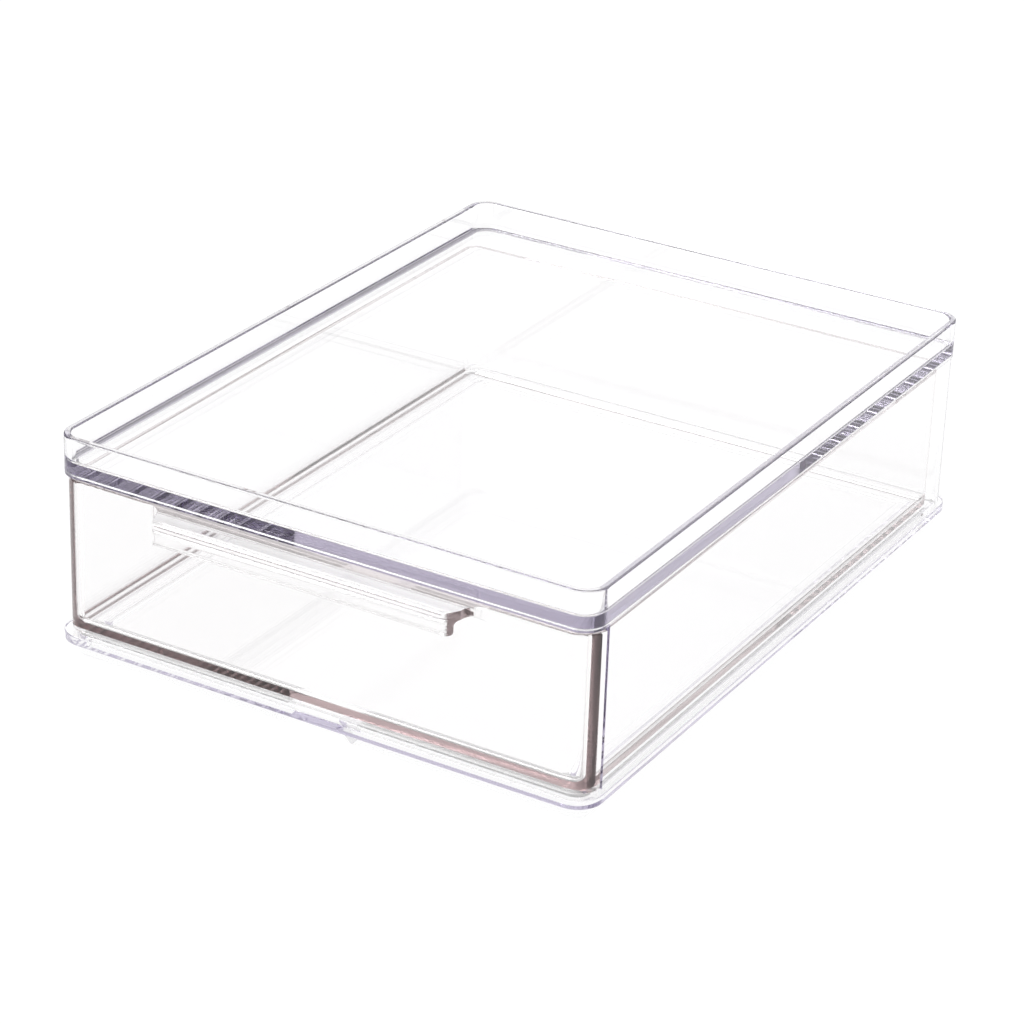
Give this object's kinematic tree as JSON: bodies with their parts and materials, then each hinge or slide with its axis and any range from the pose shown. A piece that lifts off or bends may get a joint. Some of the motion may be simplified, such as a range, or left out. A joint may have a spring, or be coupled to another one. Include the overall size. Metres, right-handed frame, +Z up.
{
  "type": "stackable drawer box",
  "caption": "Clear plastic box with a recessed stacking rim, a base plate with a nesting foot, and a drawer with a ledge handle that slides out of the front.",
  "frame": {"origin": "on the surface that the box stands on, under the middle of its whole outline, with the handle", "axes": "+Z up, the drawer opens towards -Y, +X to the right of someone who faces the drawer"},
  "size_m": [0.1674, 0.2256, 0.0655],
  "materials": {
    "clear_plastic": "clear, polished moulded plastic"
  },
  "bodies": {
    "case": {"case_shell": "clear_plastic", "case_base": "clear_plastic"},
    "drawer": {"drawer": "clear_plastic"}
  },
  "joints": [
    {"name": "drawer_slide", "type": "slide", "parent": "case", "child": "drawer", "axis": [0, -1, 0], "range_m": [0, 0.15]}
  ]
}
